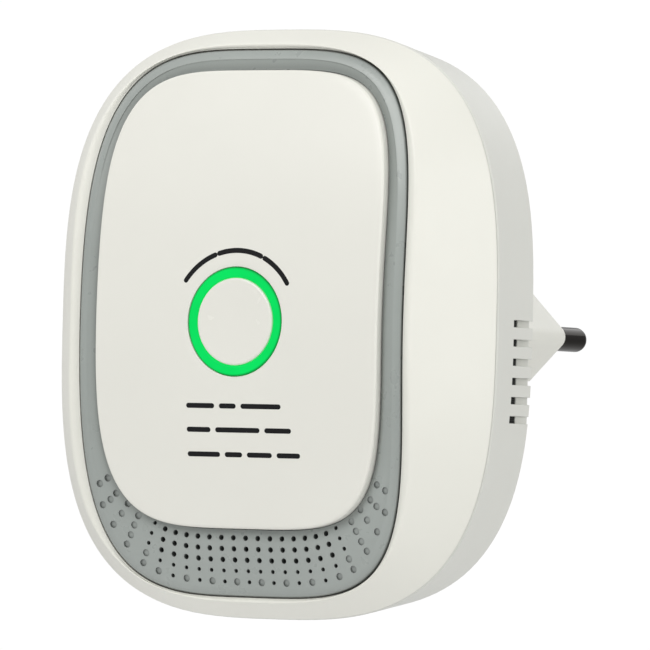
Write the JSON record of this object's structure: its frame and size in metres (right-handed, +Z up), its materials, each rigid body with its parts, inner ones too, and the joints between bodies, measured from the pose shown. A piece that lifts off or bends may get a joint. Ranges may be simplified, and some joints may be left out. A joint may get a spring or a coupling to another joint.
{
  "type": "carbon monoxide detector",
  "caption": "Plug-in wall gas alarm: domed rectangular housing, raised panel with push-to-test button in a light ring, lower grille, side vents and two-pin plug.",
  "frame": {"origin": "middle of the plug's end face, between the two pins, where the plug meets the socket", "axes": "+Y towards the wall, the way the plug goes in; +Z up, along the housing's long side; +X to the right as seen from the room"},
  "size_m": [0.0812, 0.0645, 0.0943],
  "materials": {
    "front_shell": "satin moulded, warm white",
    "rear_shell": "fine matte moulded, off-white",
    "panel": "satin gloss, off-white",
    "grey_frame": "satin grey",
    "light_guide": "frosted clear, lit green",
    "button": "satin gloss, off-white",
    "plug_plastic": "satin moulded",
    "pin_metal": "polished nickel plate",
    "spring_steel": "bright wire",
    "screw_steel": "zinc plated",
    "board": "solder-masked laminate",
    "black_plastic": "moulded black",
    "mesh_cloth": "woven acoustic cloth",
    "label_paper": "plain label stock",
    "contact_brass": "stamped strip",
    "sensor_metal": "drawn can",
    "filter_cloth": "charcoal cloth",
    "ferrite": "pressed ferrite",
    "winding_tape": "yellow tape over copper",
    "capacitor_sleeve": "shrink sleeve",
    "blue_disc": "dipped disc",
    "red_plastic": "moulded",
    "yellow_plastic": "moulded",
    "clear_led": "moulded lamp body",
    "insulator": "fibre sheet"
  },
  "bodies": {
    "housing": {"front_cover": "front_shell", "rear_cover": "rear_shell", "front_panel": "panel", "grille_frame": "grey_frame", "light_guide": "light_guide", "plug_body": "plug_plastic", "plug_pin_left": "pin_metal", "plug_pin_right": "pin_metal", "housing_screws": "screw_steel", "rating_label": "label_paper", "acoustic_mesh": "mesh_cloth", "button_spring": "spring_steel", "switch_body": "black_plastic", "led_green": "clear_led", "led_yellow": "clear_led", "led_red": "clear_led", "main_board": "board", "board_screws": "screw_steel", "plug_screws": "screw_steel", "sounder_case": "black_plastic", "sounder_disc": "contact_brass", "sensor_base": "black_plastic", "sensor_can": "sensor_metal", "sensor_filter": "filter_cloth", "sensor_element": "sensor_metal", "transformer_core": "ferrite", "transformer_winding": "winding_tape", "transformer_base": "black_plastic", "input_capacitor": "capacitor_sleeve", "varistor": "blue_disc", "fuse": "red_plastic", "output_capacitor": "capacitor_sleeve", "film_capacitor": "yellow_plastic", "bridge_rectifier": "black_plastic", "supply_chip": "black_plastic", "optocoupler": "black_plastic", "voltage_regulator": "black_plastic", "microcontroller": "black_plastic", "crystal": "sensor_metal", "insulating_sheet": "insulator", "pin_contact_left": "contact_brass", "pin_contact_right": "contact_brass"},
    "test_button": {"test_button": "button", "button_clip": "spring_steel"},
    "switch_plunger": {"switch_plunger": "black_plastic"}
  },
  "joints": [
    {"name": "button_press", "type": "slide", "parent": "housing", "child": "test_button", "axis": [0, 1, 0], "range_m": [0, 0.0004], "stiffness_N_per_m": 900, "springref_m": -0.0008, "deforming": ["button_spring"]},
    {"name": "plunger_press", "type": "slide", "parent": "housing", "child": "switch_plunger", "axis": [0, 1, 0], "range_m": [0, 0.0004]}
  ],
  "couplings": [
    {"joint": "plunger_press", "follows": "button_press", "ratio": 1}
  ]
}
